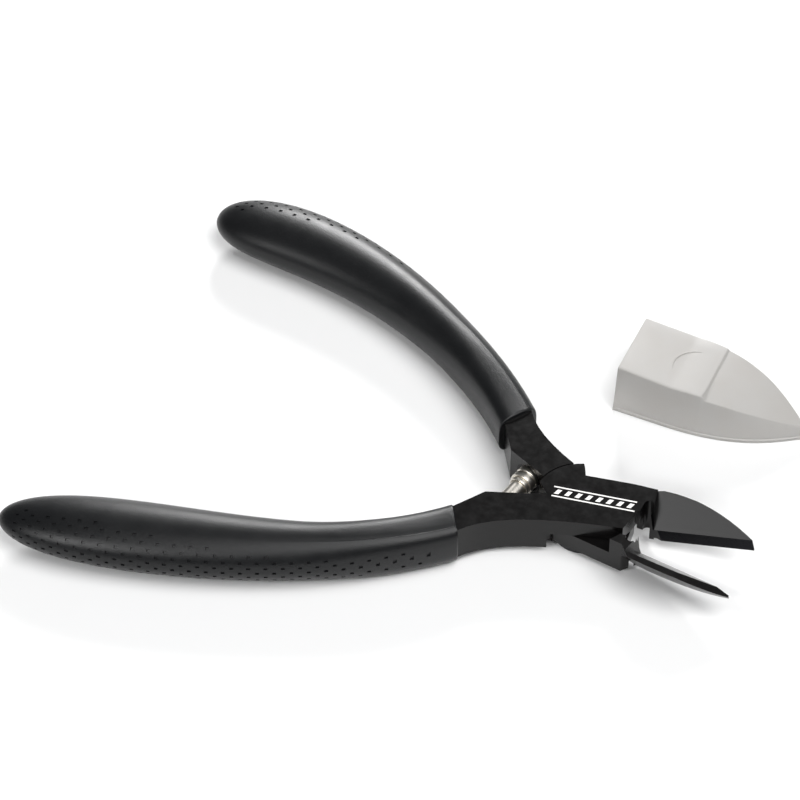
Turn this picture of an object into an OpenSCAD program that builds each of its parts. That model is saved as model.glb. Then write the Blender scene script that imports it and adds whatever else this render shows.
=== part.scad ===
// Nail nipper with sprung handles and a slip-on jaw cap.
// Two forged steel arms cross in a lap joint and turn on a shoulder screw. Moulded
// sleeves cover their tangs, and a spring barrel between the arms pushes them open.
// The frame: the pivot's axis is +Z, +X runs from the pivot to the jaws along the line that
// halves the open tool, and z = 0 is the surface that the tool lies on. It is drawn open.

/* [Steel arms] */
// Thickness of the steel at the lap joint
steel_t = 6.8; // [6.4:0.1:7.4]
// Radius of the round boss on the front arm's lap
front_boss_r = 8.2; // [7.8:0.1:8.4]
// Radius of the round boss on the rear arm's lap
rear_boss_r = 7.2; // [7:0.1:7.8]
// Radius from the pivot beyond which the jaws have their full thickness
jaw_root_r = 9.2; // [9.1:0.1:9.5]
// Clearance between the lap faces and round the boss
lap_gap = 0.04; // [0.02:0.01:0.1]
// Length of the tang that runs inside each grip, as a share of the grip's length
tang_share = 0.5; // [0.3:0.05:0.6]

/* [Jaws] */
// Angle between each jaw's cutting edge and the centre line when the tool is open
open_angle = 11.1; // [10:0.1:12]
// Distance from the pivot to the jaws' tips
tip_r = 29; // [26:0.5:31]
// Distance from the pivot to the heel of the cutting edge
heel_r = 13.5; // [13:0.1:15]
// Height of the cutting edge above the steel's underside at the heel
heel_z = 0.55; // [0.4:0.05:1.2]
// Height of the cutting edge above the steel's underside at the tip
tip_z = 2.6; // [2:0.1:3]
// Height of the honed bevel above the cutting edge
bevel_h = 2; // [1.2:0.1:2.4]
// Width of the honed bevel in plan
bevel_w = 0.45; // [0.3:0.05:0.6]
// Slope of the rear jaw's ground inner face from the horizontal
rear_jaw_slope = 41; // [38:1:46]
// Slope of the front jaw's ground inner face from the horizontal
front_jaw_slope = 46; // [42:1:50]
// Slope of each jaw's outer face from the vertical
back_slope = 32; // [28:1:34]

/* [Pivot screw] */
// Radius of the screw's plain shoulder
shoulder_r = 2.5; // [2:0.1:3]
// Running clearance of the rear arm's bore round the shoulder
shoulder_fit = 0.04; // [0.02:0.01:0.08]
// Radius of the screw's head
head_r = 4.6; // [4:0.1:5]
// Height of the head, which stands below the steel
head_h = 1.2; // [0.8:0.1:1.6]
// Radius of the two holes in the head that take a pin wrench
pin_hole_r = 0.6; // [0.4:0.05:0.8]
// Distance of the pin wrench holes from the axis
pin_hole_at = 2.8; // [2:0.1:3.2]

/* [Grips] */
// Half the width of a grip where it meets the steel
grip_neck_w = 3.75; // [3.6:0.05:4]
// Half the width of a grip near its free end
grip_end_w = 7.2; // [6.5:0.1:7.6]
// Half the thickness of a grip where it meets the steel
grip_neck_h = 4.1; // [3.8:0.1:4.4]
// Half the thickness of a grip along its length
grip_h = 4.6; // [4.5:0.05:4.6]
// Distance of the front grip's free end from the centre line
front_spread = 42.2; // [38:0.2:44]
// Distance of the rear grip's free end from the centre line
rear_spread = 35.8; // [34:0.2:42]

/* [Spring barrel] */
// Outer radius of the barrel
barrel_r = 2.1; // [2:0.05:2.3]
// Outer radius of the rolled lip at the barrel's mouth
collar_r = 1.8; // [1.7:0.05:2]
// Outer radius of the plunger
plunger_r = 1.45; // [1.4:0.05:1.6]
// Running clearance round the plunger
plunger_fit = 0.05; // [0.03:0.01:0.08]
// How far the barrel stands out of the rear arm
barrel_out = 2; // [1.5:0.1:2.2]
// How far the barrel is set into the rear arm
barrel_in = 4.6; // [4:0.1:4.8]

/* [Jaw cap] */
// Outer length of the cap from its mouth to its tip
cap_l = 33.5; // [32:0.1:35]
// Outer width of the cap along the foot of its walls
cap_w = 16; // [15.4:0.1:17]
// Outer height of the cap at its mouth
cap_h = 9.2; // [9:0.1:10]
// Wall of the cap
cap_wall = 0.9; // [0.7:0.05:1.1]

/* [Hidden] */
$fn = 64;
far = 60;

z_low = head_h;
z_mid = head_h + steel_t / 2;
z_top = head_h + steel_t;
shoulder_gap = 0.2;

// Corners of the front arm's plan, from the grip round the inner side to the boss.
neck_in = [-18.9, -10.3];
neck_out = [-16, -14.8];
knee = [-15.4, -5.1];
bridge = [-8.9, -2.5];
crotch = [-6.1, -1.1];
boss_from = 154.7;
front_boss_to = 119;
front_boss_corner = [-2.7, 7];
rear_boss_to = 135;
rear_boss_corner = [-3.4, 4.4];
back_start = [-1.8, 5.3];
lap_corner = [8.3, -2.7];
throat = [8.9, 1.85];
outer_curve = [neck_out, [-12.5, -9.5], [-4, -6], lap_corner];

// Corners of a jaw in its own frame, whose first axis is the cutting edge.
jaw_root = [7.2, 5.7];
rear_jaw_back = [[9.4, 5.6], [15, 5.4], [24.5, 4.9], [tip_r + 0.3, 2.9]];
front_jaw_back = [[9.4, 5.75], [15, 5.65], [24, 5.4], [tip_r + 0.3, 3]];
// Outline and slope of the rounded nose that each jaw is ground to.
rear_nose = [[9.4, 5.9], [16, 5.5], [22.4, 4], [tip_r + 0.05, 0.3]];
rear_nose_slope = 4;
front_nose = [[9.4, 5.9], [16, 5.5], [23.5, 5], [tip_r + 0.05, 2.75]];
// Where the top of the front jaw starts to fall towards its tip, and how steeply.
tip_fall_from = 21;
tip_fall = 23;
heel_land = [[12.6, bevel_w], [10.9, bevel_w]];
face_from = 12.1;
relief_r = 0.85;
relief_at = [10.2, 3.9];
relief_l = 4;
back_grind_from = [9.9, 5];
back_grind_turn = 28;
grind_skin = 0.03;
root_slope = 10;
front_root = [back_start, [9.5, 7.9]];
rear_root = [[-3.3, 4.65], [9.5, 5.9]];

// Centre lines of the grips in plan.
grip_start = [-17.4, -12.6];
grip_lead = [-31, -26.6];
front_line = [grip_start, grip_lead, [-46.2, -31.8], [-87, -front_spread]];
rear_line = [grip_start, grip_lead, [-61, -42], [-87, -rear_spread]];
grip_blunt = 12;
grip_rings = 30;
grip_sides = 24;
tang_w = 1.9;
tang_end_w = 1.4;
tang_t = 3.2;
tang_play = 0.03;
neck_turn = atan2(neck_out[1] - neck_in[1], neck_out[0] - neck_in[0]);
tang_steps = 14;

// The barrel's axis passes barrel_at at rest and points into the rear arm.
barrel_at = [-11.8, 1.8];
barrel_turn = 79;
barrel_face = 1.76;
mouth = barrel_face - barrel_out;
barrel_end = barrel_face + barrel_in;
barrel_floor = 0.5;
collar_l = 0.8;
groove_at = 1.15;
groove_w = 0.25;
groove_d = 0.25;
recess_r = 2.6;
recess_d = 0.5;
tip_at = -4.89;
plunger_end = 0.6;
plunger_wall = 0.35;
seat_r = 2.2;
seat_t = 0.8;
seat_room_r = 3;
seat_depth = 0.62;
seat_at = [-11.64, -3.6];
seat_turn = 21.8;
wire_r = 0.17;
coil_r = 0.8;
coil_turns = 9;
coil_steps = 10;

cap_at = [-6.4, 35.7];
cap_turn = 1;
cap_straight = 9.7;
cap_full = 24;
cap_taper = 29.3;
cap_dip = 0.7;
cap_tip_h = 2.1;
// Sideways lean of the cap's walls for each unit of height.
cap_draft = 0.13;

function mix(a, b, t) = a + (b - a) * t;
function ease(t) = let (c = min(max(t, 0), 1)) c * c * (3 - 2 * c);
function unit(v) = v / norm(v);
function bezier(p, t) = let (s = 1 - t)
    s * s * s * p[0] + 3 * s * s * t * p[1] + 3 * s * t * t * p[2] + t * t * t * p[3];
function bezier_dir(p, t) = let (s = 1 - t)
    unit(s * s * (p[1] - p[0]) + 2 * s * t * (p[2] - p[1]) + t * t * (p[3] - p[2]));
function curve(p, n) = [for (i = [0 : n]) bezier(p, i / n)];
function left_of(d) = [-d[1], d[0]];
function turned(p, a) = [p[0] * cos(a) - p[1] * sin(a), p[0] * sin(a) + p[1] * cos(a)];
function reversed(list) = [for (i = [len(list) - 1 : -1 : 0]) list[i]];

// Rings of equal length, joined into one closed skin.
module skin(rings) {
    n = len(rings[0]);
    m = len(rings);
    sides = [for (i = [0 : m - 2], j = [0 : n - 1], k = [0, 1]) let (q = (j + 1) % n)
        k == 0 ? [i * n + j, i * n + q, (i + 1) * n + q]
               : [i * n + j, (i + 1) * n + q, (i + 1) * n + j]];
    ends = [for (j = [1 : n - 2], k = [0, 1])
        k == 0 ? [0, j + 1, j] : [(m - 1) * n, (m - 1) * n + j, (m - 1) * n + j + 1]];
    polyhedron(points = [for (ring = rings, p = ring) p], faces = concat(sides, ends));
}

function on_boss(r, a) = [r * cos(a), r * sin(a)];

// Plan of an arm on the front side without its round boss, from grip to jaw root and back.
function arm_plan(boss_r, jaw_back) =
    concat([neck_in, knee, bridge, crotch, on_boss(boss_r - 1, boss_from), [-2.9, 5.3], back_start],
           [for (p = concat([jaw_root], curve(jaw_back, 12),
                            [[tip_r, 0], [heel_r, 0]], heel_land)) turned(p, open_angle)],
           [throat], reversed(curve(outer_curve, 10)));

// The full height of an arm, with the sector of its round boss in its half of the lap.
module arm_blank(over, boss_r, boss_to, boss_corner, jaw_back) {
    half_lap = (steel_t - lap_gap) / 2;
    translate([0, 0, z_low]) linear_extrude(steel_t) polygon(arm_plan(boss_r, jaw_back));
    translate([0, 0, over ? z_top - half_lap : z_low]) intersection() {
        cylinder(r = boss_r, h = half_lap);
        linear_extrude(half_lap)
            polygon([[2, 0], crotch, on_boss(2 * boss_r, boss_from),
                     on_boss(2 * boss_r, boss_to), boss_corner, back_start]);
    }
}

// A prism over a plan that is true at the steel's top and leans in towards the centre line below.
module leaning(plan, slope) {
    multmatrix([[1, 0, 0, 0], [0, 1, tan(slope), -tan(slope) * z_top], [0, 0, 1, 0], [0, 0, 0, 1]])
        linear_extrude(z_top) polygon(plan);
}

// A jaw's outline, closed on the side of the other jaw.
function ground_plan(outline, skin) =
    concat([for (p = curve(outline, 12)) p - [0, skin]],
           [[tip_r + 3, -far / 4], [back_grind_from[0], -far / 4]]);

// What is left of a jaw's back when it is ground: steep along the blade, and round at its nose.
module back_grind(jaw_back, nose, nose_slope) {
    rotate(open_angle) {
        intersection() {
            leaning(ground_plan(jaw_back, grind_skin), back_slope);
            leaning(ground_plan(nose, 0), nose_slope);
        }
        translate([back_grind_from[0], back_grind_from[1], 0]) rotate(back_grind_turn)
            translate([-far, -far, 0]) cube([far, 2 * far, z_top]);
    }
}

// What is left beside the lap, between the boss and the jaw.
module root_grind(root, slope) {
    leaning([[root[0][0], -far], root[0], root[1], [root[0][0] + far, far], [far, -far]], slope);
    translate([root[0][0] - far, -far, 0]) cube([far, 2 * far, z_top]);
}

// Air on one side of a plane that holds the cutting edge's direction: over a face, or below it.
module edge_cut(v, height, slope) {
    rise = atan((tip_z - heel_z) / (tip_r - heel_r));
    rotate(open_angle) translate([heel_r, v, z_low + heel_z + height]) rotate([0, -rise, 0])
        rotate([slope, 0, 0]) translate([face_from - heel_r, -far / 2, 0]) cube([far, far, far]);
}

// An arm that lies on the front side of the tool. over says which half of the lap it takes.
module arm(over, boss_r, boss_to, boss_corner, other_r, jaw_back, nose, nose_slope, face_slope,
           root, slope) {
    lap_from = over ? z_low - 1 : z_mid - lap_gap / 2;
    lap_to = over ? z_mid + lap_gap / 2 : z_top + 1;
    difference() {
        intersection() {
            arm_blank(over, boss_r, boss_to, boss_corner, jaw_back);
            back_grind(jaw_back, nose, nose_slope);
            root_grind(root, slope);
        }
        edge_cut(bevel_w, bevel_h, face_slope);
        edge_cut(0, 0, atan(bevel_h / bevel_w));
        edge_cut(0, 0, 180);
        // The other arm's boss turns in this half of the lap, and its jaw root passes beside it.
        translate([0, 0, lap_from]) cylinder(r = other_r + shoulder_gap, h = lap_to - lap_from);
        intersection() {
            translate([0, 0, lap_from]) cylinder(r = jaw_root_r, h = lap_to - lap_from);
            translate([0, -far / 2, -1]) cube([far, far, z_top + 2]);
        }
        // The relief at the heel of the jaw, open to the throat.
        translate([relief_at[0], relief_at[1], 0]) cylinder(r = relief_r, h = z_top + 1);
        translate([relief_at[0] - relief_r, relief_at[1] - relief_l, 0])
            cube([2 * relief_r, relief_l, z_top + 1]);
        // Under the other arm's lap nothing is left between the root and the relief.
        translate([relief_at[0] - 3 * relief_r, relief_at[1] - relief_l, lap_from])
            cube([3 * relief_r, relief_l, lap_to - lap_from]);
    }
}

function tang_plan(line, play) =
    let (steps = [for (i = [0 : tang_steps]) i / tang_steps * tang_share],
         half = function (t) mix(tang_w, tang_end_w, t / tang_share) + play)
    concat([for (t = steps) bezier(line, t) + half(t) * left_of(bezier_dir(line, t))],
           [for (t = reversed(steps)) bezier(line, t) - half(t) * left_of(bezier_dir(line, t))]);

module tang(line, play) {
    translate([0, 0, z_mid - tang_t / 2 - play]) linear_extrude(tang_t + 2 * play)
        polygon(tang_plan(line, play));
    root = line[0] - 0.4 * bezier_dir(line, 0);
    if (play == 0)
        translate([root[0], root[1], z_mid]) rotate(atan2(bezier_dir(line, 0)[1], bezier_dir(line, 0)[0]))
            cube([2, 2 * tang_w, tang_t], center = true);
}

function grip_half_w(t) = mix(grip_neck_w, grip_end_w, ease((t - 0.08) / 0.9));
function grip_half_h(t) = mix(grip_neck_h, grip_h, ease(t / 0.3));
function grip_ring(line, t) =
    let (mid = bezier(line, t), side = left_of(bezier_dir(line, t)),
         taper = sqrt(max(1 - pow(t, grip_blunt), 0.0004)))
    [for (k = [0 : grip_sides - 1]) let (a = 360 * k / grip_sides,
        across = mid + taper * grip_half_w(t) * cos(a) * side)
        [across[0], across[1], z_mid + taper * grip_half_h(t) * sin(a)]];

module grip(line) {
    difference() {
        skin([for (i = [0 : grip_rings]) grip_ring(line, mix(-0.03, 1, sin(90 * i / grip_rings)))]);
        tang(line, tang_play);
        // The steel's end face stops the grip.
        translate([neck_in[0], neck_in[1], 0]) rotate(neck_turn) translate([-far, -tang_play, -1])
            cube([2 * far, far, far]);
    }
}

// Places its child on the barrel's axis, which becomes +X, a distance s from barrel_at.
module on_barrel(s) {
    translate([barrel_at[0], barrel_at[1], z_mid]) rotate(barrel_turn) translate([s, 0, 0]) children();
}
module rod(r, l) {
    rotate([0, 90, 0]) cylinder(r = r, h = l);
}
// A round disc or pocket that starts a depth below the front arm's inner face.
module seat_disc(r, depth, t) {
    translate([seat_at[0], seat_at[1], z_mid]) rotate(seat_turn - 90) translate([depth, 0, 0]) rod(r, t);
}

module front_arm() {
    color("#1b1a1a") {
        difference() {
            arm(true, front_boss_r, front_boss_to, front_boss_corner, rear_boss_r, rear_jaw_back,
                rear_nose, rear_nose_slope, rear_jaw_slope, front_root, root_slope);
            seat_disc(seat_room_r, -1, seat_depth + 1);
            seat_disc(seat_r, seat_depth - 0.1, seat_t + 0.1);
            translate([0, 0, z_mid - 1]) cylinder(r = shoulder_r, h = steel_t / 2 - 0.4);
        }
        tang(front_line, 0);
    }
}

module rear_arm() {
    color("#1b1a1a") {
        difference() {
            mirror([0, 1, 0])
                arm(false, rear_boss_r, rear_boss_to, rear_boss_corner, front_boss_r, front_jaw_back,
                    front_nose, back_slope, front_jaw_slope, rear_root, 0);
            mirror([0, 1, 0]) rotate(open_angle) translate([tip_fall_from, -far / 2, z_top])
                rotate([0, tip_fall, 0]) cube([far, far, far]);
            on_barrel(barrel_face - 3) rod(recess_r, 3 + recess_d);
            on_barrel(barrel_face - 1) rod(barrel_r, barrel_in + 1);
            translate([0, 0, z_low - 1]) cylinder(r = shoulder_r + shoulder_fit, h = steel_t);
        }
        mirror([0, 1, 0]) tang(rear_line, 0);
    }
}

module pivot_screw() {
    color("#2a2a2c") difference() {
        union() {
            cylinder(r = head_r, h = head_h - lap_gap);
            cylinder(r = shoulder_r, h = z_mid - 1 + steel_t / 2 - 0.4);
        }
        for (x = [-pin_hole_at, pin_hole_at]) translate([x, 0, -1]) cylinder(r = pin_hole_r, h = 1.7);
    }
}

module front_grip() {
    color("#26272a") grip(front_line);
}

module rear_grip() {
    color("#26272a") mirror([0, 1, 0]) grip(rear_line);
}

module spring_barrel() {
    length = barrel_end - mouth;
    color("#c9c6bf") on_barrel(mouth) difference() {
        rod(barrel_r, length);
        translate([-1, 0, 0]) rod(plunger_r + plunger_fit, length + 1 - barrel_floor);
        translate([groove_at, 0, 0]) difference() {
            rod(barrel_r + 1, groove_w);
            translate([-1, 0, 0]) rod(barrel_r - groove_d, groove_w + 2);
        }
    }
}

module barrel_collar() {
    color("#d6d3cc") on_barrel(mouth - collar_l) difference() {
        rod(collar_r, collar_l);
        translate([-1, 0, 0]) rod(plunger_r + plunger_fit, collar_l + 2);
    }
}

module plunger() {
    color("#cfccc4") on_barrel(tip_at) difference() {
        union() {
            sphere(r = plunger_r);
            rod(plunger_r, plunger_end - tip_at);
        }
        rod(plunger_r - plunger_wall, plunger_end - tip_at + 1);
    }
}

module coil_spring() {
    start = tip_at + wire_r + 0.1;
    end = barrel_end - barrel_floor - wire_r - 0.05;
    steps = coil_turns * coil_steps;
    color("#8d8f93") on_barrel(0) skin([for (i = [0 : steps]) let (a = 360 * i / coil_steps)
        [for (b = [0 : 60 : 300]) [mix(start, end, i / steps) + wire_r * sin(b),
                                   (coil_r + wire_r * cos(b)) * cos(a),
                                   (coil_r + wire_r * cos(b)) * sin(a)]]]);
}

module plunger_seat() {
    color("#b9b7b1") seat_disc(seat_r - 0.02, seat_depth + 0.02, seat_t - 0.02);
}

// A prism over the cap's plan that leans sideways by lean for each unit of height.
module cap_prism(plan, inset, lean) {
    multmatrix([[1, 0, 0, 0], [0, 1, lean, 0], [0, 0, 1, inset], [0, 0, 0, 1]])
        linear_extrude(cap_h - 2 * inset) polygon(plan);
}

// The cap's leaf-shaped plan with walls that lean in, and its side, inset by the same amount.
module cap_shape(inset, mouth_at) {
    half = cap_w / 2 - inset;
    tip = cap_l - 1.6 * inset;
    side = curve([[cap_straight, half], [cap_full, half], [cap_taper, 0.3 * half], [tip, 0]], 12);
    plan = concat([[mouth_at, half]], side, [for (p = reversed(side)) [p[0], -p[1]]],
                  [[mouth_at, -half]]);
    top = [for (p = curve([[cap_straight, cap_h - cap_dip], [cap_full, cap_h],
                           [cap_taper, cap_tip_h + 1], [cap_l, cap_tip_h]], 10)) p - [0, inset]];
    intersection() {
        cap_prism(plan, inset, cap_draft);
        cap_prism(plan, inset, -cap_draft);
        translate([0, far / 2, 0]) rotate([90, 0, 0]) linear_extrude(far)
            polygon(concat([[mouth_at - 1, 0], [mouth_at - 1, cap_h - inset], [mouth_at, cap_h - inset]],
                           top, [[cap_l + 1, cap_tip_h - inset], [cap_l + 1, 0]]));
    }
}

module tip_cap() {
    color("#b9b7b4", 0.8) translate([cap_at[0], cap_at[1], 0]) rotate(cap_turn) difference() {
        cap_shape(0, 0);
        cap_shape(cap_wall, -1);
    }
}

front_arm();
rear_arm();
pivot_screw();
front_grip();
rear_grip();
spring_barrel();
barrel_collar();
plunger();
coil_spring();
plunger_seat();
tip_cap();
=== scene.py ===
# %% [markdown]
# # A nail nipper and its jaw cap
# Two forged arms cross in a lap joint. They are black all over, the grips are soft and black
# too, and the cap is frosted plastic. So this lesson is mostly about three ways of being
# black and grey: what separates them is how each surface was finished, not its colour.

# %% Load the frame
import math
import bmesh
import bpy
from mathutils import Matrix, Vector


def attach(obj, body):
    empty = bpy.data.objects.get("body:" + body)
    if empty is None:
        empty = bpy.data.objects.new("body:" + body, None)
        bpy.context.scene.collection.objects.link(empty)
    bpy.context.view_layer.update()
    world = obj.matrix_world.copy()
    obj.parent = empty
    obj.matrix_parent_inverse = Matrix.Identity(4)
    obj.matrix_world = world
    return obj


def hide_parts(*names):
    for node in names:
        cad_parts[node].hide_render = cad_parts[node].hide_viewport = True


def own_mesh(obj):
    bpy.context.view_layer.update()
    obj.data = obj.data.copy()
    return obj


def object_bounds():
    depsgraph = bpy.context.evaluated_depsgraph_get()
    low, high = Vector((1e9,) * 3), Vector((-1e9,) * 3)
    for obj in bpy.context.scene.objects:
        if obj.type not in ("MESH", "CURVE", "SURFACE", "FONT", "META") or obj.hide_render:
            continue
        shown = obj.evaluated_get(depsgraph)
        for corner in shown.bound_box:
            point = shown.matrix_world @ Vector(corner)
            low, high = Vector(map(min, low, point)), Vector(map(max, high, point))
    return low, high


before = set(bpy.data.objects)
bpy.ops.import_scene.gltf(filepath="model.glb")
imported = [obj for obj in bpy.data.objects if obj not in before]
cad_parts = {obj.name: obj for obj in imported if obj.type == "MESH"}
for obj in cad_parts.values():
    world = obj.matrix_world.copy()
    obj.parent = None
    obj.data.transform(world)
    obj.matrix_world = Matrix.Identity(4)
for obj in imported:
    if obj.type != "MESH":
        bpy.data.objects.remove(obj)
cad_low, cad_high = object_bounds()
MM = 0.001

# %% [markdown]
# ## The camera
# The tool lies flat and is looked down on from its front right. A long lens from half a metre
# away keeps the two arms nearly the same size, as a product picture does.

# %% The camera
view_turn = math.radians(25.6)
view_rise = math.radians(47.3)
camera_at = Vector((136.8, -355.5, 444.0)) * MM
camera_data = bpy.data.cameras.new("camera")
camera_data.sensor_width = 36
camera_data.lens = 157.5
camera_data.clip_start = 0.01
camera = bpy.data.objects.new("camera", camera_data)
camera.location = camera_at
camera.rotation_euler = (math.pi / 2 - view_rise, 0, view_turn)
bpy.context.collection.objects.link(camera)
bpy.context.scene.camera = camera
bpy.context.scene.view_settings.view_transform = "Standard"
print("camera stands", round(camera_at.length / MM), "mm from the pivot")

# %% [markdown]
# ## Light
# A black tool has little colour to show, so its shape is told by what it mirrors. The flat
# steel tops must mirror something dark, and the round grips must catch one long soft band.
# So the light behind stands low: a level face throws its mirror image over it, and only a
# surface that leans back a little finds it. Two lamps in front give the sides and the ground
# faces of the jaws their grey, and a big soft box overhead lights the floor.


# %% The lamps
aim = Vector((-20, 0, 0)) * MM


def lamp(name, direction, distance, size, watts):
    """A square soft box that looks at the middle of the tool from a direction."""
    data = bpy.data.lights.new(name, "AREA")
    data.shape = "SQUARE"
    data.size = size
    data.energy = watts
    towards = Vector(direction).normalized()
    made = bpy.data.objects.new(name, data)
    made.location = towards * distance + aim
    made.rotation_euler = towards.to_track_quat("Z", "Y").to_euler()
    bpy.context.collection.objects.link(made)


lamp("lamp_behind", (-0.30, 0.86, 0.41), 0.9, 0.18, 6.0)
lamp("lamp_front", (-0.29, -0.74, 0.61), 0.9, 0.16, 2.2)
lamp("lamp_jaw", (-0.04, -0.66, 0.75), 0.9, 0.30, 0.8)
lamp("lamp_above", (0.40, -0.05, 0.92), 1.0, 0.80, 9.5)
world = bpy.data.worlds.new("studio")
bpy.context.scene.world = world
world.use_nodes = True
world_shade = world.node_tree.nodes["Background"]
world_shade.inputs["Color"].default_value = (0.96, 0.98, 1.0, 1.0)
world_shade.inputs["Strength"].default_value = 0.10

# %% [markdown]
# ## Building materials
# Every material below starts from the Principled shader. Two helpers are enough: one turns a
# colour written as a hex value into the linear light that the shader wants, and one adds a
# node, sets it and links it. Patterns are laid out in real lengths, so a third turns the
# size of a grain in millimetres into a noise scale.


# %% Colour, node and grain helpers
def linear(hex_colour):
    """An sRGB hex value such as #a0b0c0 as linear red, green, blue and full alpha."""
    parts = [int(hex_colour[i:i + 2], 16) / 255 for i in (1, 3, 5)]
    return tuple(c / 12.92 if c <= 0.04045 else ((c + 0.055) / 1.055) ** 2.4 for c in parts) + (1.0,)


def add(material, kind, settings, links=None):
    """Adds a node. settings and links name its sockets by word or number, or its properties."""
    node = material.node_tree.nodes.new(kind)
    for name, value in settings.items():
        if isinstance(name, int) or name in node.inputs:
            node.inputs[name].default_value = value
        else:
            setattr(node, name, value)
    for name, source in (links or {}).items():
        material.node_tree.links.new(source, node.inputs[name])
    return node


def grain(size_mm):
    """The noise scale at which one blob of the pattern is about size_mm across."""
    return 1 / (size_mm * MM)


def new_material(name, colour, metallic, roughness, ior=None):
    """A material with a Principled shader, its colour and finish set on the shader's sockets."""
    material = bpy.data.materials.new(name)
    material.use_nodes = True
    shader = material.node_tree.nodes["Principled BSDF"]
    shader.inputs["Base Color"].default_value = linear(colour)
    shader.inputs["Metallic"].default_value = metallic
    shader.inputs["Roughness"].default_value = roughness
    if ior:
        shader.inputs["IOR"].default_value = ior
    material.diffuse_color = linear(colour)
    return material, shader


def vary(material, shader, socket, size_mm, low, high, stretch=(1, 1, 1), turn=0.0):
    """Drives a socket between low and high with a noise, stretched along its own axes."""
    place = add(material, "ShaderNodeTexCoord", {})
    lay = add(material, "ShaderNodeMapping",
              {"Scale": stretch, "Rotation": (0, 0, turn)}, {"Vector": place.outputs["Object"]})
    noise = add(material, "ShaderNodeTexNoise",
                {"Scale": grain(size_mm), "Detail": 3.0, "Roughness": 0.6},
                {"Vector": lay.outputs["Vector"]})
    if isinstance(low, str):
        blend = add(material, "ShaderNodeMix",
                    {"data_type": "RGBA", 6: linear(low), 7: linear(high)},
                    {0: noise.outputs["Fac"]})
        result = blend.outputs[2]
    else:
        blend = add(material, "ShaderNodeMapRange",
                    {"From Min": 0.3, "From Max": 0.7, "To Min": low, "To Max": high},
                    {"Value": noise.outputs["Fac"]})
        result = blend.outputs["Result"]
    material.node_tree.links.new(result, shader.inputs[socket])
    return noise


def emboss(material, shader, height, depth_mm):
    """Gives the surface a relief of depth_mm from a node's 0 to 1 output."""
    bump = add(material, "ShaderNodeBump",
               {"Strength": 1.0, "Distance": depth_mm * MM}, {"Height": height})
    material.node_tree.links.new(bump.outputs["Normal"], shader.inputs["Normal"])


print("linear of #808080:", round(linear("#808080")[0], 3))

# %% [markdown]
# ## Blackened carbon steel
# The arms are forged, blasted fine and then boiled in a black oxide bath. The oxide is a skin
# a thousandth of a millimetre thick: it is dark, not metallic to look at, and it follows the
# blasted surface, so the eye gets a satin sheen with a very fine tooth.
# The tooth is really about 0.02 mm. It is drawn at 0.1 mm so that it shows at all.


# %% Blackened steel
def blackened_steel():
    material, shader = new_material("black_oxide_on_steel", "#0b0a0a", 0.0, 0.22, ior=1.38)
    vary(material, shader, "Roughness", 1.5, 0.18, 0.25)
    tooth = vary(material, shader, "Base Color", 0.1, "#090808", "#0f0e0e")
    emboss(material, shader, tooth.outputs["Fac"], 0.0015)
    return material


# %% [markdown]
# ## Painted edge highlight
# The bevel faces along the edges get steel a shade lighter than the faces beside it. This lighter
# colour is a painted highlight for the bright line that a lamp draws along a rounded edge.


# %% Painted edge highlight
def painted_edge_highlight():
    # Lighter steel on every rounded edge: a painted highlight.
    material, shader = new_material("steel_with_painted_edge_highlight", "#2c2b2a", 0.9, 0.30)
    vary(material, shader, "Roughness", 0.5, 0.24, 0.44)
    vary(material, shader, "Base Color", 0.8, "#141313", "#4a4846")
    return material


# %% [markdown]
# ## Ground and honed jaw faces
# The inside of each jaw is ground after blackening on a wheel that runs across the blade, so
# it is grey metal with fine cross lines. The bevel at the edge is honed with a finer stone,
# along the blade: smoother and darker. Lines are really 0.03 mm apart, drawn at 0.12 mm.


# %% Ground and honed steel
blade_turn = math.radians(11.1)


def ground_steel(name, blade_side):
    material, shader = new_material(name, "#56585c", 1.0, 0.34)
    lines = vary(material, shader, "Roughness", 0.12, 0.28, 0.46,
                 stretch=(1, 0.06, 0.06), turn=-blade_side * blade_turn)
    vary(material, shader, "Base Color", 0.5, "#2c2e32", "#7c7f84",
         stretch=(1, 0.08, 0.08), turn=-blade_side * blade_turn)
    emboss(material, shader, lines.outputs["Fac"], 0.006)
    return material


def honed_steel(name, blade_side):
    material, shader = new_material(name, "#232325", 1.0, 0.30)
    lines = vary(material, shader, "Roughness", 0.1, 0.24, 0.36,
                 stretch=(0.05, 1, 1), turn=-blade_side * blade_turn)
    emboss(material, shader, lines.outputs["Fac"], 0.003)
    return material


# %% [markdown]
# ## Soft touch rubber
# The grips are a thermoplastic rubber moulded over the tangs in a spark-eroded tool. The
# eroded texture prints off as a fine even grain, so a highlight is broad, dull and sparkling
# with single bright grains. The grain is about 0.08 mm, drawn at 0.16 mm.


# %% Soft touch rubber
def soft_rubber():
    material, shader = new_material("thermoplastic_rubber_moulded", "#101112", 0.0, 0.40, ior=1.42)
    vary(material, shader, "Roughness", 4.0, 0.32, 0.38)
    speck = vary(material, shader, "Base Color", 0.16, "#0a0b0c", "#161719")
    emboss(material, shader, speck.outputs["Fac"], 0.03)
    return material


# %% [markdown]
# ## Nickel plate, spring wire and screw
# The spring barrel is turned brass under nickel. It is a true metal, warm and light, and the
# fine turning marks blur what it mirrors into soft light and dark bands. The spring is drawn
# wire, and the screw is oxide over a machined head.


# %% Nickel, wire and screw
def nickel_plate():
    material, shader = new_material("nickel_plated_brass_turned", "#e6e1d8", 1.0, 0.32)
    vary(material, shader, "Roughness", 0.3, 0.28, 0.36)
    return material


def spring_wire():
    material, shader = new_material("spring_wire_drawn", "#8f9093", 1.0, 0.28)
    vary(material, shader, "Roughness", 0.2, 0.22, 0.36)
    return material


def screw_steel():
    material, shader = new_material("machined_steel_oxide", "#3a3a3c", 0.8, 0.36)
    tooth = vary(material, shader, "Base Color", 0.3, "#2c2c2e", "#48484a")
    emboss(material, shader, tooth.outputs["Fac"], 0.004)
    return material


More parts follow.
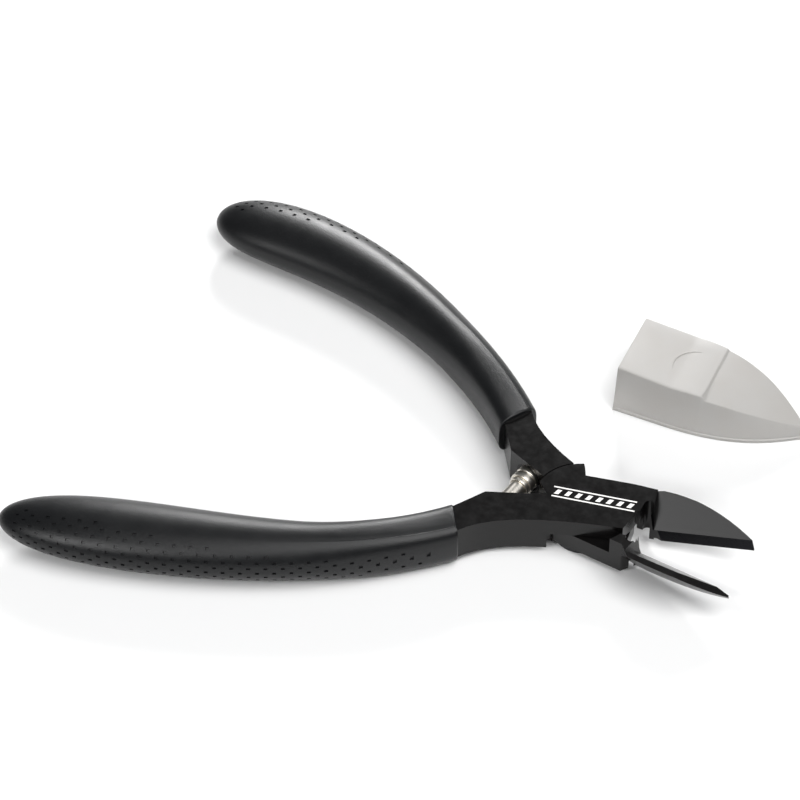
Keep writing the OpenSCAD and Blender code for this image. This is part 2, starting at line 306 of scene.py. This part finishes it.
# %% [markdown]
# ## Frosted polypropylene
# The cap is thin grey-tinted polypropylene. Its mould was blasted, so the outside is matt and
# scatters the light that passes: things inside show only as soft shades. About a third of the
# light goes through and the rest comes back, which gives the eye a pale, dense grey.


# %% Frosted polypropylene
def frosted_plastic():
    material, shader = new_material("polypropylene_frosted", "#cfcdca", 0.0, 0.42, ior=1.49)
    shader.inputs["Transmission Weight"].default_value = 0.35
    frost = vary(material, shader, "Roughness", 0.25, 0.36, 0.52)
    vary(material, shader, "Base Color", 7.0, "#cbc7c2", "#d1d0ce")
    emboss(material, shader, frost.outputs["Fac"], 0.012)
    return material


# %% [markdown]
# ## Pad print
# The mark on the lap is printed with a silicone pad: a dense white ink, dead matt, a few
# hundredths of a millimetre thick.


# %% Pad print
def pad_print():
    material, shader = new_material("pad_print_white_ink", "#f4f3ef", 0.0, 0.55, ior=1.5)
    vary(material, shader, "Base Color", 0.4, "#eceae6", "#fbfaf8")
    return material


steel_black = blackened_steel()
steel_edge_highlight = painted_edge_highlight()
rubber = soft_rubber()
nickel = nickel_plate()
wire = spring_wire()
screw_metal = screw_steel()
frosted = frosted_plastic()
ink = pad_print()
print("materials:", [m.name for m in bpy.data.materials])

# %% [markdown]
# ## Helpers for pieces
# A piece is a mesh that rides on a body and, mostly, stands for a plain node of the frame. A
# round or tubular piece is a row of rings with a skin between them.


# %% Piece helpers
def new_piece(name, built, materials, body, stands_for=None):
    """Makes an object of a bmesh and hands it to its body."""
    bmesh.ops.recalc_face_normals(built, faces=built.faces)
    mesh = bpy.data.meshes.new(name)
    built.to_mesh(mesh)
    built.free()
    piece = bpy.data.objects.new(name, mesh)
    bpy.context.collection.objects.link(piece)
    for material in materials:
        mesh.materials.append(material)
    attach(piece, body)
    if stands_for:
        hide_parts(stands_for)
    return piece


def smooth(piece, sharp_degrees):
    """Smooth shading, but every edge bent by more than sharp_degrees stays crisp."""
    piece.data.shade_smooth()
    piece.data.set_sharp_from_angle(angle=math.radians(sharp_degrees))


def skin_rings(built, rings, closed_ends):
    """Joins rings of equal length into a skin. Returns its faces as rows."""
    verts = [[built.verts.new(p) for p in ring] for ring in rings]
    count = len(rings[0])
    rows = []
    for a, b in zip(verts, verts[1:]):
        rows.append([built.faces.new((a[j], a[(j + 1) % count], b[(j + 1) % count], b[j]))
                     for j in range(count)])
    if closed_ends:
        built.faces.new(verts[0])
        built.faces.new(verts[-1])
    return rows


def mix(a, b, t):
    return a + (b - a) * t


def ease(t):
    c = min(max(t, 0.0), 1.0)
    return c * c * (3 - 2 * c)


def bezier(points, t):
    """A point of a cubic curve."""
    s = 1 - t
    weights = (s ** 3, 3 * s * s * t, 3 * s * t * t, t ** 3)
    return sum((Vector(p) * w for p, w in zip(points, weights)), Vector((0, 0)))


def bezier_heading(points, t):
    """The unit direction of a cubic curve."""
    s = 1 - t
    a, b, c, d = (Vector(p) for p in points)
    return ((b - a) * s * s + (c - b) * 2 * s * t + (d - c) * t * t).normalized()


print("half way along an ease:", ease(0.5))

# %% [markdown]
# ## The steel arms
# The frame's arms have the right faces, but real forged and ground steel has no knife-sharp
# corners except at the cutting edge: a hair of rounding catches the light. Their own meshes
# are copied, the triangles of each flat face are joined up, and a bevel goes round every
# sharp edge. The bevel's faces take a lighter steel, a painted highlight along the edges, and
# the jaw faces are found by the way they look, so the grinding lands on the right ones.

# %% The steel arms
edge_round = 0.11 * MM
sharp_bend = math.radians(28)
face_slopes = {"front_arm": 41, "rear_arm": 46}
hone_height, hone_width = 2.0, 0.45
hone_slope = math.degrees(math.atan(hone_height / hone_width))
same_way = 0.999
jaws_from = 10 * MM
weld = 0.002 * MM


def jaw_normal(slope_degrees, side):
    """The way a jaw face looks, whose slope is from the horizontal. side is 1 for the rear jaw."""
    a = math.radians(slope_degrees)
    out = Vector((0, -side * math.sin(a), math.cos(a)))
    return Matrix.Rotation(side * blade_turn, 3, "Z") @ out


def steel_arm(node, body, side):
    built = bmesh.new()
    built.from_mesh(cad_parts[node].data)
    bmesh.ops.remove_doubles(built, verts=built.verts, dist=weld)
    bmesh.ops.dissolve_limit(built, angle_limit=math.radians(0.6), verts=built.verts, edges=built.edges)
    looks = [jaw_normal(face_slopes[node], side), jaw_normal(hone_slope, side)]
    for face in built.faces:
        for index, look in enumerate(looks):
            if face.normal.dot(look) > same_way and face.calc_center_median().x > jaws_from:
                face.material_index = index + 2
    materials = [steel_black, steel_edge_highlight, ground_steel(node + "_ground_face", side),
                 honed_steel(node + "_honed_bevel", side)]
    piece = new_piece(node + "_forging", built, materials, body, node)
    smooth(piece, 30)
    bevel = piece.modifiers.new("edge_rounding", "BEVEL")
    bevel.width = edge_round
    bevel.segments = 2
    bevel.limit_method = "ANGLE"
    bevel.angle_limit = sharp_bend
    # The bevel faces take the lighter steel: a painted highlight along the edges.
    bevel.material = 1
    flat = piece.modifiers.new("flat_faces", "WEIGHTED_NORMAL")
    flat.weight = 100
    flat.keep_sharp = True
    counts = [sum(p.material_index == i for p in piece.data.polygons) for i in range(4)]
    print(piece.name, "faces by finish:", counts)


steel_arm("front_arm", "front_half", 1)
steel_arm("rear_arm", "rear_half", -1)

# %% [markdown]
# ## The grips
# Each grip is a moulded sleeve: nearly square where it grows out of the steel, oval in the
# hand, wider towards its rounded end. It is a loft of rings along a curve. The outer side has
# a staggered field of small square pits for the palm, which narrows towards the steel. The
# rings are spaced so that one cell of the skin is one pit, and the pits are pushed in from
# the cells themselves: crisp geometry for few faces.

# %% Measures of the grips
mid_z = 4.6
grip_start = (-17.4, -12.6)
grip_lead = (-31, -26.6)
grip_lines = {"front_grip": [grip_start, grip_lead, (-46.2, -31.8), (-87, -42.2)],
              "rear_grip": [grip_start, grip_lead, (-61, -42), (-87, -35.8)]}
neck_half, end_half = 3.75, 7.2
neck_deep, grip_deep = 4.1, 4.6
bluntness = 12
end_from, end_rings = 0.975, 12
neck_inner, neck_outer = Vector((-18.9, -10.3)), Vector((-16, -14.8))
pit_length = 0.66
pit_rim, pit_slope, pit_depth = 0.05, 0.06, 0.24
pit_columns = 60
pits_from, pits_to = 0.06, 0.955
seam_height = 0.05
seam_angle = 69
cell = 360 // pit_columns
column_angles = sorted(set(range(0, 360, cell)) | {seam_angle - 1, seam_angle, seam_angle + 1,
                                                   360 - seam_angle - 1, 360 - seam_angle,
                                                   360 - seam_angle + 1})
print("columns round a grip:", len(column_angles))


# %% The grips
def even_steps(line, spacing):
    """Curve parameters that lie spacing apart along the curve, and the length reached at each."""
    fine = 3000
    places, reached, last = [0.0], [0.0], bezier(line, 0)
    run = 0.0
    for k in range(1, fine + 1):
        here = bezier(line, k / fine)
        run += (here - last).length
        last = here
        if run >= reached[-1] + spacing:
            places.append(k / fine)
            reached.append(run)
    return places, [r / run for r in reached]


def grip_point(line, t, share, degrees):
    """A point of the grip's skin: superellipse sections that soften from the neck outwards."""
    power = 2 / mix(3.4, 2.05, ease(share / 0.35))
    blunt = math.sqrt(max(1 - max(t, 0.0) ** bluntness, 0.0))
    a = math.radians(degrees)
    c, s = math.cos(a), math.sin(a)
    on_seam = degrees in (seam_angle, 360 - seam_angle)
    seam = seam_height * (1 - ease(share / 0.5)) if on_seam else 0.0
    across = mix(neck_half, end_half, ease((t - 0.08) / 0.9)) * blunt + seam
    deep = mix(neck_deep, grip_deep, ease(t / 0.3)) * blunt + seam
    heading = bezier_heading(line, t)
    side = Vector((-heading.y, heading.x))
    flat = bezier(line, t) + side * across * math.copysign(abs(c) ** power, c)
    return Vector((flat.x, flat.y, mid_z + deep * math.copysign(abs(s) ** power, s)))


def pit_here(share, angle, column, ring):
    """Whether a cell is one of the pits, which stand in staggered rows on the outer side."""
    from_side = min(angle, 360 - angle)
    row, odd = divmod(column, 2)
    in_field = pits_from < share < pits_to and from_side < 4 + 92 * share
    return in_field and not odd and ring % 4 == (0 if row % 2 else 2)


def moulded_grip(node, body, mirrored):
    line = grip_lines[node]
    flip = -1 if mirrored else 1
    steps, shares = even_steps(line, pit_length)
    keep = [k for k, t in enumerate(steps) if t < end_from]
    stations = [(-0.03, 0.0), (-0.015, 0.0)] + [(steps[k], shares[k]) for k in keep]
    last = steps[keep[-1]]
    stations += [(mix(last, 1.0, math.sin(math.pi / 2 * k / end_rings)), 1.0)
                 for k in range(1, end_rings + 1)]
    rings = [[p * MM for p in (grip_point(line, t, share, a) for a in column_angles)]
             for t, share in stations]
    rings = [[Vector((p.x, flip * p.y, p.z)) for p in ring] for ring in rings]
    built = bmesh.new()
    rows = skin_rings(built, rings[:-1], False)
    tip = built.verts.new(sum(rings[-1], Vector()) / len(rings[-1]))
    edge = [v for v in built.verts][-1 - len(column_angles):-1]
    for j, vert in enumerate(edge):
        built.faces.new((vert, edge[(j + 1) % len(edge)], tip))
    pits = []
    for ring, row in enumerate(rows):
        share = stations[ring][1]
        for j, face in enumerate(row):
            angle = column_angles[j]
            width = (column_angles[(j + 1) % len(column_angles)] - angle) % 360
            if width == cell and pit_here(share, angle + cell / 2, angle // cell, ring):
                pits.append(face)
    bmesh.ops.recalc_face_normals(built, faces=built.faces)
    bmesh.ops.inset_individual(built, faces=pits, thickness=pit_rim * MM, depth=0)
    bmesh.ops.inset_individual(built, faces=pits, thickness=pit_slope * MM, depth=-pit_depth * MM)
    out = neck_inner - neck_outer
    cut = Vector((out.y, -out.x)).normalized()
    cut = -cut if cut.dot(bezier_heading(line, 0)) > 0 else cut
    whole = list(built.verts) + list(built.edges) + list(built.faces)
    bmesh.ops.bisect_plane(built, geom=whole, clear_outer=True,
                           plane_co=Vector((neck_inner.x, flip * neck_inner.y, 0)) * MM,
                           plane_no=(cut.x, flip * cut.y, 0))
    rim = [e for e in built.edges if e.is_boundary]
    bmesh.ops.holes_fill(built, edges=rim)
    bmesh.ops.bevel(built, geom=rim, offset=0.3 * MM, segments=3, affect="EDGES", profile=0.5)
    piece = new_piece(node + "_moulding", built, [rubber], body, node)
    smooth(piece, 34)
    print(piece.name, "rings:", len(stations), "pits:", len(pits))


moulded_grip("front_grip", "front_half", False)
moulded_grip("rear_grip", "rear_half", True)

# %% [markdown]
# ## The spring barrel
# Barrel, lip and plunger are turned parts. A lathe makes them by moving a tool along a
# profile, and a turned profile makes them here: each is one outline of distance along the
# axis and radius, swept round. Small roundings on the outline are what draw the bright rings.

# %% The turned pieces
barrel_at = Vector((-11.8, 1.8, mid_z))
barrel_turn = math.radians(79)
plunger_r, barrel_r, lip_r, fit = 1.45, 2.1, 1.8, 0.05
mouth, barrel_end = -0.24, 6.36
around = 72


def rounded(corners, radius, segments=4):
    """An outline of (along, radius) points with each inner corner rounded off."""
    made = [corners[0]]
    for before, corner, after in zip(corners, corners[1:], corners[2:]):
        a, b, c = Vector(before), Vector(corner), Vector(after)
        reach = min(radius, (a - b).length / 2.1, (c - b).length / 2.1)
        start, stop = b + (a - b).normalized() * reach, b + (c - b).normalized() * reach
        for k in range(segments + 1):
            t = k / segments
            made.append(start * (1 - t) ** 2 + b * 2 * t * (1 - t) + stop * t * t)
    return made + [corners[-1]]


def turned_piece(name, outline, body, material, node):
    """Sweeps an outline round the barrel's axis. It starts and ends on one closed loop."""
    rows = []
    spin = Matrix.Rotation(barrel_turn, 3, "Z")
    for along, radius in outline:
        rows.append([(spin @ Vector((along, radius * math.cos(a), radius * math.sin(a))) + barrel_at) * MM
                     for a in (2 * math.pi * k / around for k in range(around))])
    built = bmesh.new()
    skin_rings(built, rows, False)
    bmesh.ops.remove_doubles(built, verts=built.verts, dist=0.0005 * MM)
    piece = new_piece(name, built, [material], body, node)
    smooth(piece, 40)
    print(name, "faces:", len(piece.data.polygons))


barrel_outline = rounded([(mouth + 0.2, plunger_r + fit), (mouth, plunger_r + fit), (mouth, barrel_r),
                          (0.91, barrel_r), (0.98, barrel_r - 0.25), (1.12, barrel_r - 0.25),
                          (1.19, barrel_r), (barrel_end, barrel_r), (barrel_end, 0.02)], 0.14)
lip_outline = rounded([(mouth - 0.4, plunger_r + fit), (mouth - 0.8, plunger_r + fit),
                       (mouth - 0.8, lip_r), (mouth, lip_r), (mouth, plunger_r + fit),
                       (mouth - 0.4, plunger_r + fit)], 0.28, 5)
nose = -4.89
plunger_outline = [(nose - plunger_r * math.cos(a), max(plunger_r * math.sin(a), 0.001))
                   for a in (math.pi / 2 * k / 12 for k in range(13))]
plunger_outline += rounded([(0.0, plunger_r), (0.6, plunger_r), (0.6, 1.1), (nose, 1.1)], 0.1)
bore_depth = barrel_end - 0.5
barrel_outline += [(bore_depth, 0.02), (bore_depth, plunger_r + fit), (mouth + 0.2, plunger_r + fit)]
plunger_outline += [(nose, 0.001)]
turned_piece("spring_barrel_turned", barrel_outline, "rear_half", nickel,
             "spring_barrel")
turned_piece("barrel_lip_rolled", lip_outline, "rear_half", nickel, "barrel_collar")
turned_piece("plunger_turned", plunger_outline, "plunger", nickel, "plunger")

# %% [markdown]
# ## Small pieces that the frame already has right
# The screw, the spring and the seat keep the frame's own shapes. They only get their metal,
# and the screw a rounding on its rim and holes.


# %% Finishes on the frame's own pieces
def finish_node(node, material, round_mm=0.0):
    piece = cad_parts[node]
    for place in piece.material_slots:
        place.material = material
    if round_mm:
        bevel = piece.modifiers.new("rim_rounding", "BEVEL")
        bevel.width = round_mm * MM
        bevel.segments = 2
        bevel.angle_limit = math.radians(40)


finish_node("pivot_screw", screw_metal, 0.1)
finish_node("coil_spring", wire)
finish_node("plunger_seat", nickel)
print("kept from the frame: pivot_screw, coil_spring, plunger_seat")

# %% [markdown]
# ## The jaw cap
# The cap is a thin pocket with a leaf-shaped plan, standing on a rim. Its walls lean in for
# the mould's draft. The roof has a small step across it, and beyond the step a bevel along
# the front edge that runs out at the tip. It is a loft of closed sections from the mouth to
# the tip, and a solidify modifier gives it the wall inside, so that light crosses two skins.

# %% Measures of the cap
cap_at, cap_turn = Vector((-6.4, 35.7, 0)), math.radians(1)
cap_length, cap_half, cap_height = 33.5, 8.0, 9.2
plan_curve = [(9.7, cap_half), (24, cap_half), (29.3, 2.4), (cap_length, 0.02)]
roof_curve = [(9.7, 8.5), (24, cap_height), (29.3, 3.1), (cap_length, 2.1)]
cap_draft = 0.13
cap_wall = 0.9
rim_high, rim_out, rim_soft = 0.75, 0.22, 0.12
step_at, step_drop = 15.2, 0.32
edge_soft = 0.45
front_bevel_wide, front_bevel_drop = 4.6, 0.75


def curve_value(points, start, u):
    """The height over u of a straight run from start to a curve, then of the curve."""
    first = points[0]
    if u <= first[0]:
        return mix(start, first[1], u / first[0])
    low, high = 0.0, 1.0
    for _ in range(40):
        t = (low + high) / 2
        low, high = (t, high) if bezier(points, t).x < u else (low, t)
    return bezier(points, t).y


print("cap half width and height at 20 mm:", round(curve_value(plan_curve, cap_half, 20), 2),
      round(curve_value(roof_curve, cap_height, 20), 2))


# %% The jaw cap
def cap_section(u):
    """One closed section of the cap, from the middle of its foot round the front to the back."""
    foot = curve_value(plan_curve, cap_half, u)
    high = curve_value(roof_curve, cap_height, u)
    lower = step_drop * ease((u - step_at) / 0.5)
    shoulder = max(foot - rim_out - cap_draft * high, 0.02)
    soft = min(edge_soft, shoulder * 0.4)
    begun = ease(u - step_at + 0.2)
    bevel_in = front_bevel_wide * begun * min(1.0, shoulder / 6.0)
    bevel_drop = front_bevel_drop * begun * min(1.0, shoulder / 5.0)
    front_high, back_high = high - bevel_drop, high - lower
    rim = min(rim_high, high * 0.3)
    lip = min(rim_out, foot * 0.3)
    front = [(-foot + 0.15 * soft, 0.0), (-foot, rim_soft), (-foot, rim - rim_soft), (-foot + lip, rim)]
    # Each top edge is rounded by four points: shares of its softness inward and downward.
    rounding = ((None, 1.0), (0.15, 0.35), (0.45, 0.08), (1.0, 0.0))
    inward = [-0.02 if share is None else soft * share for share, _ in rounding]
    wall_top = [(-shoulder + step, front_high - soft * down) for step, (_, down) in zip(inward, rounding)]
    crease = (min(-shoulder + soft + bevel_in, -0.01), back_high)
    roof = [(mix(crease[0], shoulder - soft, k / 6), back_high) for k in range(1, 6)]
    back_top = [(shoulder - step, back_high - soft * down)
                for step, (_, down) in reversed(list(zip(inward, rounding)))]
    back = [(-v, z) for v, z in reversed(front)]
    return [(0.0, 0.0)] + front + wall_top + [crease] + roof + back_top + back


def jaw_cap():
    # Stations lie close at the mouth, across the step and at the tip.
    steps = [0.0, 0.1, 0.3] + [k * 0.6 for k in range(1, 25)] + [14.9 + 0.1 * k for k in range(10)]
    steps += [16.2 + 0.55 * k for k in range(28)]
    steps += [31.6 + 1.75 * math.sin(math.pi / 2 * k / 8) for k in range(9)]
    turn = Matrix.Rotation(cap_turn, 3, "Z")
    rings = [[(turn @ Vector((u, v, z)) + cap_at) * MM for v, z in cap_section(u)]
             for u in sorted(set(steps))]
    built = bmesh.new()
    skin_rings(built, rings, False)
    built.verts.ensure_lookup_table()
    built.faces.new(built.verts[-len(rings[0]):])
    piece = new_piece("tip_cap_moulding", built, [frosted], "cap", "tip_cap")
    smooth(piece, 24)
    wall = piece.modifiers.new("wall", "SOLIDIFY")
    wall.thickness = cap_wall * MM
    wall.offset = -1
    print(piece.name, "sections:", len(rings))


jaw_cap()

# %% [markdown]
# ## The moulded ring on the cap
# A low curved rib stands on the roof, where the mould was gated. It is nearly a third of a ring.


# %% The moulded ring
def gate_rib():
    centre, radius, half_wide, tall = Vector((11.9, -0.6)), 3.9, 0.16, 0.14
    turn = Matrix.Rotation(cap_turn, 3, "Z")
    rings = []
    for k in range(25):
        a = math.radians(mix(95, 205, k / 24))
        out = Vector((math.cos(a), math.sin(a)))
        fade = math.sin(math.pi * min(max(k / 24, 0.02), 0.98)) ** 0.5
        ring = []
        for across, up in ((-1, -0.6), (-0.7, 0.6), (0, 1), (0.7, 0.6), (1, -0.6)):
            flat = centre + out * (radius + across * half_wide * fade)
            roof = curve_value(roof_curve, cap_height, flat.x)
            ring.append((turn @ Vector((flat.x, flat.y, roof + up * tall * fade)) + cap_at) * MM)
        rings.append(ring)
    built = bmesh.new()
    skin_rings(built, rings, True)
    piece = new_piece("tip_cap_rib", built, [frosted], "cap")
    smooth(piece, 60)
    print(piece.name, "faces:", len(piece.data.polygons))


gate_rib()

# %% [markdown]
# ## The printed mark
# The lap carries a plain ribbon border in white ink: two rules with a row of slanted lozenges
# between them. Each island of ink is a thin slab, a touch proud of the steel.


# %% The printed mark
def ink_ribbon():
    length, tall, rule, count, steel_top, thick = 14.0, 2.3, 0.26, 8, 8.0, 0.03
    middle, turn = Vector((1.5, 1.15, 0)), Matrix.Rotation(blade_turn, 3, "Z")
    islands = []
    for side in (-1, 1):
        y = side * (tall - rule) / 2
        islands.append([(-length / 2, y - rule / 2), (length / 2, y - rule / 2),
                        (length / 2, y + rule / 2), (-length / 2, y + rule / 2)])
    pitch = length / count
    for k in range(count):
        x = -length / 2 + pitch * (k + 0.5)
        islands.append([(x - 0.62, -0.5), (x + 0.12, -0.5), (x + 0.62, 0.5), (x - 0.12, 0.5)])
    built = bmesh.new()
    for corners in islands:
        low, high = ([(turn @ Vector((x, y, z)) + middle) * MM for x, y in corners]
                     for z in (steel_top - thick, steel_top + thick))
        skin_rings(built, [low, high], True)
    piece = new_piece("printed_ribbon", built, [ink], "front_half")
    print(piece.name, "islands of ink:", len(islands))


ink_ribbon()

# %% [markdown]
# ## The floor
# The tool lies on matt white card. Card has no gloss to speak of, only a faint tooth.


# %% The floor
def card_floor():
    built = bmesh.new()
    bmesh.ops.create_grid(built, x_segments=2, y_segments=2, size=3.0)
    mesh = bpy.data.meshes.new("floor")
    built.to_mesh(mesh)
    built.free()
    floor = bpy.data.objects.new("floor", mesh)
    floor.location.z = cad_low.z - 0.02 * MM
    bpy.context.collection.objects.link(floor)
    card, shader = new_material("matt_white_card", "#f3f3f3", 0.0, 0.9)
    vary(card, shader, "Base Color", 60.0, "#f2f2f2", "#f5f5f5")
    mesh.materials.append(card)
    print("floor at mm:", round(floor.location.z / MM, 2))


card_floor()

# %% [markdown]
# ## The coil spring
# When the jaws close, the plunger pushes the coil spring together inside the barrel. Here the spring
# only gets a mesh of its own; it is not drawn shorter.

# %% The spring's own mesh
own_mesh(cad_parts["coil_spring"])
